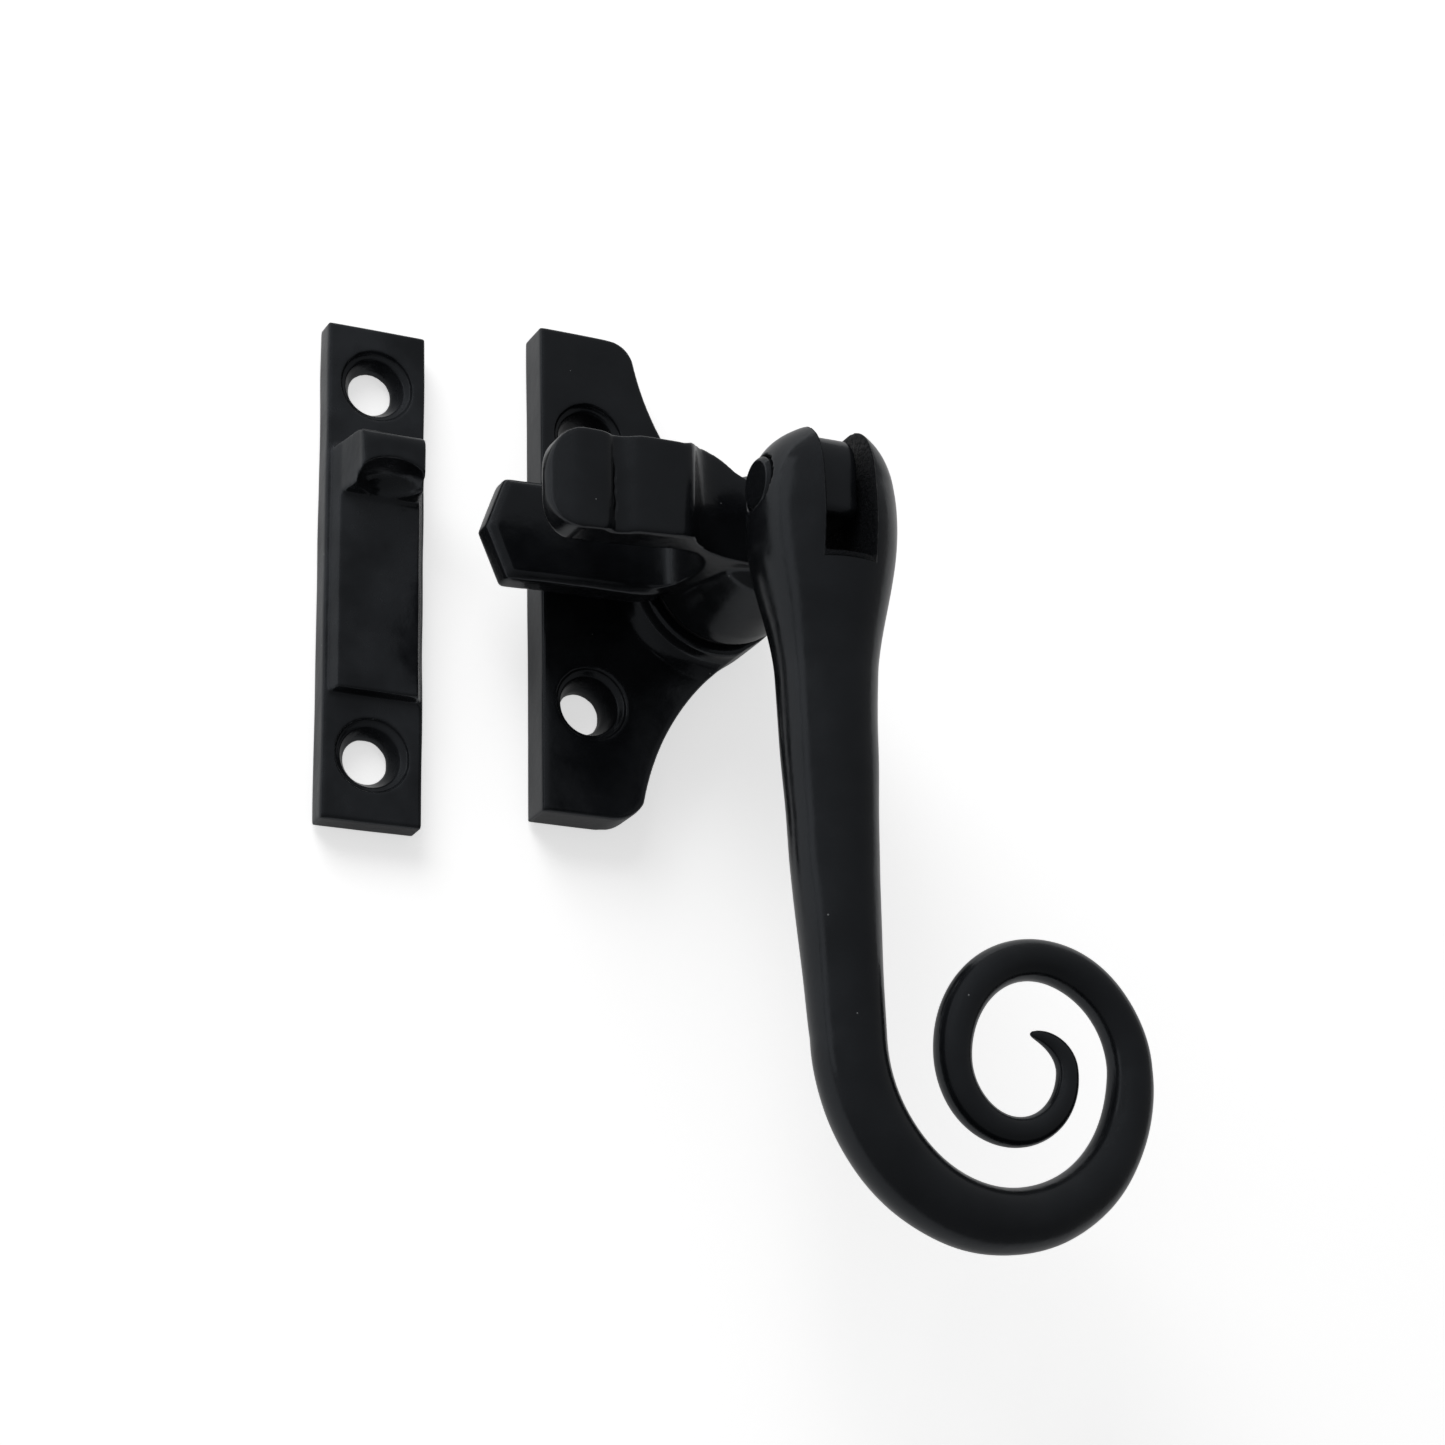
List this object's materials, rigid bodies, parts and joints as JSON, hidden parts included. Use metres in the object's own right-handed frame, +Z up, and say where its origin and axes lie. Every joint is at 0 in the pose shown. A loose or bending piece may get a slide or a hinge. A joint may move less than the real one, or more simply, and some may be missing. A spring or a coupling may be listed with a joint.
{
  "type": "casement window fastener",
  "caption": "Black casement window fastener: a lever handle curled into a scroll turns a latch with a closing claw and a night-vent claw onto a separate hook plate.",
  "frame": {"origin": "on the flat back of the base plate, midway between its two screw holes, on the face of the window sash", "axes": "-Y out of the sash into the room, +Z up with the handle hanging down, -X towards the window frame and its hook plate"},
  "size_m": [0.0897, 0.0449, 0.1207],
  "materials": {
    "black_paint": "gloss black paint over a slightly uneven casting",
    "dark_washer": "dark satin",
    "plain_steel": "plain turned steel"
  },
  "bodies": {
    "plate": {"base_plate": "black_paint", "thrust_washer": "dark_washer", "spring_washer": "plain_steel"},
    "latch": {"latch_claw": "black_paint", "spindle": "plain_steel", "back_washer": "plain_steel"},
    "lever": {"handle": "black_paint", "handle_pin": "black_paint"},
    "hook_plate": {"keep": "black_paint"}
  },
  "joints": [
    {"name": "latch_turn", "type": "hinge", "parent": "plate", "child": "latch", "pos_m": [0.0156, 0, 0], "axis": [0, -1, 0], "range_deg": [0, 90]},
    {"name": "handle_fold", "type": "hinge", "parent": "latch", "child": "lever", "pos_m": [0.0156, -0.0365, 0], "axis": [-1, 0, 0], "range_deg": [0, 180]},
    {"name": "keep_place", "type": "slide", "parent": "plate", "child": "hook_plate", "axis": [0.9358, -0.2933, 0.1955], "range_m": [0, 0.01432]}
  ]
}
